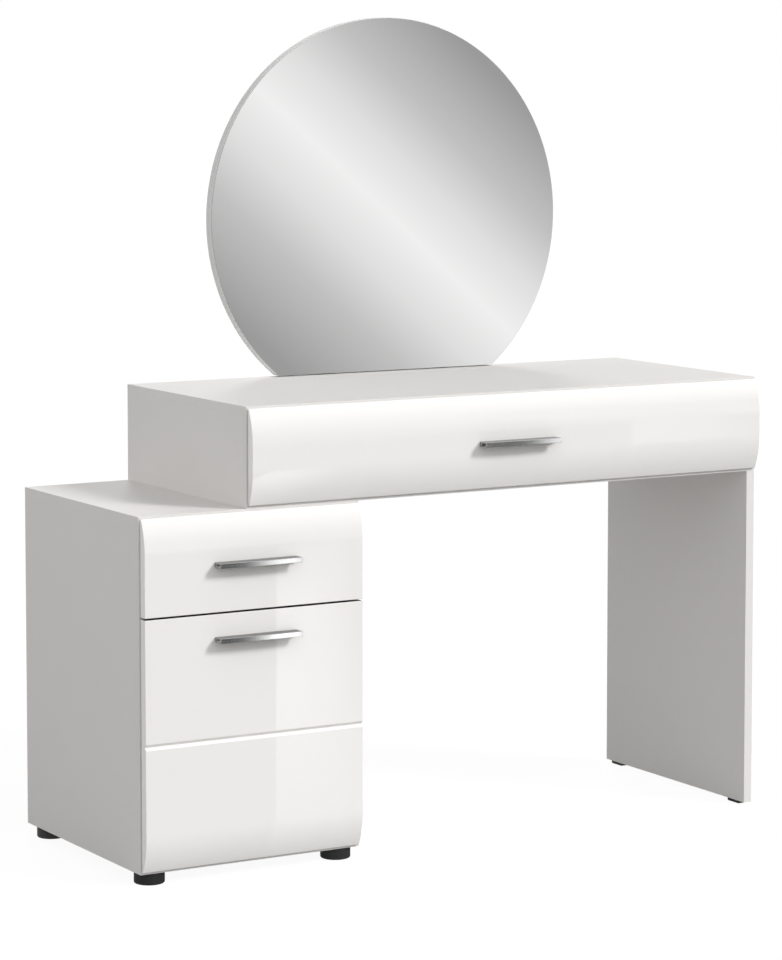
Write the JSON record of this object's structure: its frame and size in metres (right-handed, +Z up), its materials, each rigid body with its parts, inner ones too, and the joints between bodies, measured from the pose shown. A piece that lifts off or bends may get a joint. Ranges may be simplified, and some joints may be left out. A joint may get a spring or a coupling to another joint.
{
  "type": "dressing table",
  "caption": "White dressing table with a drawer pedestal, a wide drawer box on a leg panel, curved gloss fronts, profile handles and a round mirror.",
  "frame": {"origin": "floor level, midway between the two ends and midway between the handles and the mirror plates", "axes": "+Z up, -Y towards the person who sits at the table, +X to their right, from the pedestal to the leg panel"},
  "size_m": [1.2, 0.478, 1.3869],
  "materials": {
    "white_board": "satin white melamine-faced chipboard with matching edge bands",
    "gloss_front": "high-gloss white film on a curved fibreboard front",
    "white_hardboard": "matt white painted hardboard",
    "handle_metal": "satin brushed",
    "zinc_steel": "zinc-plated",
    "runner_steel": "white powder coat",
    "nylon": "natural white nylon",
    "black_plastic": "fine-grained moulded",
    "mirror_glass": "silvered float glass with polished edge",
    "beech": "fluted beech"
  },
  "bodies": {
    "carcass": {"table_top": "white_board", "box_side_left": "white_board", "box_bottom": "white_board", "box_back": "white_board", "leg_panel": "white_board", "leg_gliders": "black_plastic", "pedestal_top": "white_board", "pedestal_bottom": "white_board", "pedestal_side_left": "white_board", "pedestal_side_right": "white_board", "pedestal_back": "white_hardboard", "pedestal_feet": "black_plastic", "mirror_board": "white_board", "mirror_glass": "mirror_glass", "mirror_plates": "zinc_steel", "mirror_screws": "zinc_steel", "cam_locks": "zinc_steel", "cam_bolts": "zinc_steel", "dowels": "beech", "joining_screws": "zinc_steel", "runner_screws": "zinc_steel", "small_fixed_runner_left": "runner_steel", "small_fixed_runner_right": "runner_steel", "deep_fixed_runner_left": "runner_steel", "deep_fixed_runner_right": "runner_steel", "wide_fixed_runner_left": "runner_steel", "wide_fixed_runner_right": "runner_steel"},
    "small_drawer": {"small_drawer_front": "gloss_front", "small_drawer_side_left": "white_board", "small_drawer_side_right": "white_board", "small_drawer_back": "white_board", "small_drawer_bottom": "white_hardboard", "small_handle": "handle_metal", "small_handle_screws": "zinc_steel", "small_drawer_runner_left": "runner_steel", "small_drawer_runner_right": "runner_steel"},
    "deep_drawer": {"deep_drawer_front": "gloss_front", "deep_drawer_side_left": "white_board", "deep_drawer_side_right": "white_board", "deep_drawer_back": "white_board", "deep_drawer_bottom": "white_hardboard", "deep_handle": "handle_metal", "deep_handle_screws": "zinc_steel", "deep_drawer_runner_left": "runner_steel", "deep_drawer_runner_right": "runner_steel"},
    "wide_drawer": {"wide_drawer_front": "gloss_front", "wide_drawer_side_left": "white_board", "wide_drawer_side_right": "white_board", "wide_drawer_back": "white_board", "wide_drawer_bottom": "white_hardboard", "wide_handle": "handle_metal", "wide_handle_screws": "zinc_steel", "wide_drawer_runner_left": "runner_steel", "wide_drawer_runner_right": "runner_steel"},
    "small_front_rollers": {"small_front_rollers": "nylon"},
    "small_rear_rollers": {"small_rear_rollers": "nylon"},
    "deep_front_rollers": {"deep_front_rollers": "nylon"},
    "deep_rear_rollers": {"deep_rear_rollers": "nylon"},
    "wide_front_rollers": {"wide_front_rollers": "nylon"},
    "wide_rear_rollers": {"wide_rear_rollers": "nylon"}
  },
  "joints": [
    {"name": "small_slide", "type": "slide", "parent": "carcass", "child": "small_drawer", "axis": [0, -1, 0], "range_m": [0, 0.255]},
    {"name": "deep_slide", "type": "slide", "parent": "carcass", "child": "deep_drawer", "axis": [0, -1, 0], "range_m": [0, 0.255]},
    {"name": "wide_slide", "type": "slide", "parent": "carcass", "child": "wide_drawer", "axis": [0, -1, 0], "range_m": [0, 0.255]},
    {"name": "small_front_roll", "type": "hinge", "parent": "carcass", "child": "small_front_rollers", "pos_m": [0, -0.184, 0.46025], "axis": [1, 0, 0], "range_deg": [0, 1830]},
    {"name": "small_rear_roll", "type": "hinge", "parent": "small_drawer", "child": "small_rear_rollers", "pos_m": [0, 0.1397, 0.4583], "axis": [1, 0, 0], "range_deg": [0, 1830]},
    {"name": "deep_front_roll", "type": "hinge", "parent": "carcass", "child": "deep_front_rollers", "pos_m": [0, -0.184, 0.05525], "axis": [1, 0, 0], "range_deg": [0, 1830]},
    {"name": "deep_rear_roll", "type": "hinge", "parent": "deep_drawer", "child": "deep_rear_rollers", "pos_m": [0, 0.1397, 0.0533], "axis": [1, 0, 0], "range_deg": [0, 1830]},
    {"name": "wide_front_roll", "type": "hinge", "parent": "carcass", "child": "wide_front_rollers", "pos_m": [0, -0.184, 0.62925], "axis": [1, 0, 0], "range_deg": [0, 1830]},
    {"name": "wide_rear_roll", "type": "hinge", "parent": "wide_drawer", "child": "wide_rear_rollers", "pos_m": [0, 0.1397, 0.6273], "axis": [1, 0, 0], "range_deg": [0, 1830]}
  ],
  "couplings": [
    {"joint": "small_front_roll", "follows": "small_slide", "rad_per_m": 125},
    {"joint": "small_rear_roll", "follows": "small_slide", "rad_per_m": 125},
    {"joint": "deep_front_roll", "follows": "deep_slide", "rad_per_m": 125},
    {"joint": "deep_rear_roll", "follows": "deep_slide", "rad_per_m": 125},
    {"joint": "wide_front_roll", "follows": "wide_slide", "rad_per_m": 125},
    {"joint": "wide_rear_roll", "follows": "wide_slide", "rad_per_m": 125}
  ]
}
